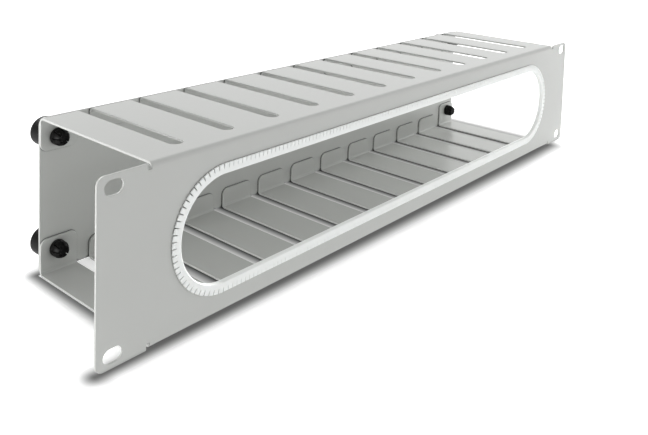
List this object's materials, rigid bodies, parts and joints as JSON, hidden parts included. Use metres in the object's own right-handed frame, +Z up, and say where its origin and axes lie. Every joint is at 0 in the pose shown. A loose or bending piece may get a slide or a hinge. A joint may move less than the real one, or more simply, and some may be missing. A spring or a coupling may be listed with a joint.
{
  "type": "horizontal cable manager",
  "caption": "Rack cable manager: folded sheet channel with slotted top and bottom, a long rounded front opening with a serrated edge strip, and a clipped rear cover.",
  "frame": {"origin": "middle of the four rack holes, on the front face of the panel", "axes": "+X to the right seen from the front, +Y from the front face to the rear, +Z up"},
  "size_m": [0.4826, 0.1123, 0.0882],
  "materials": {
    "sheet": "light grey fine-textured powder coat, semi-gloss",
    "cover_sheet": "light grey fine-textured powder coat, semi-gloss",
    "strip": "soft white nylon, slightly satin",
    "clip": "black nylon, satin"
  },
  "bodies": {
    "root": {"body": "sheet", "rear_cover": "cover_sheet", "edge_trim": "strip", "push_clips": "clip"}
  },
  "joints": []
}
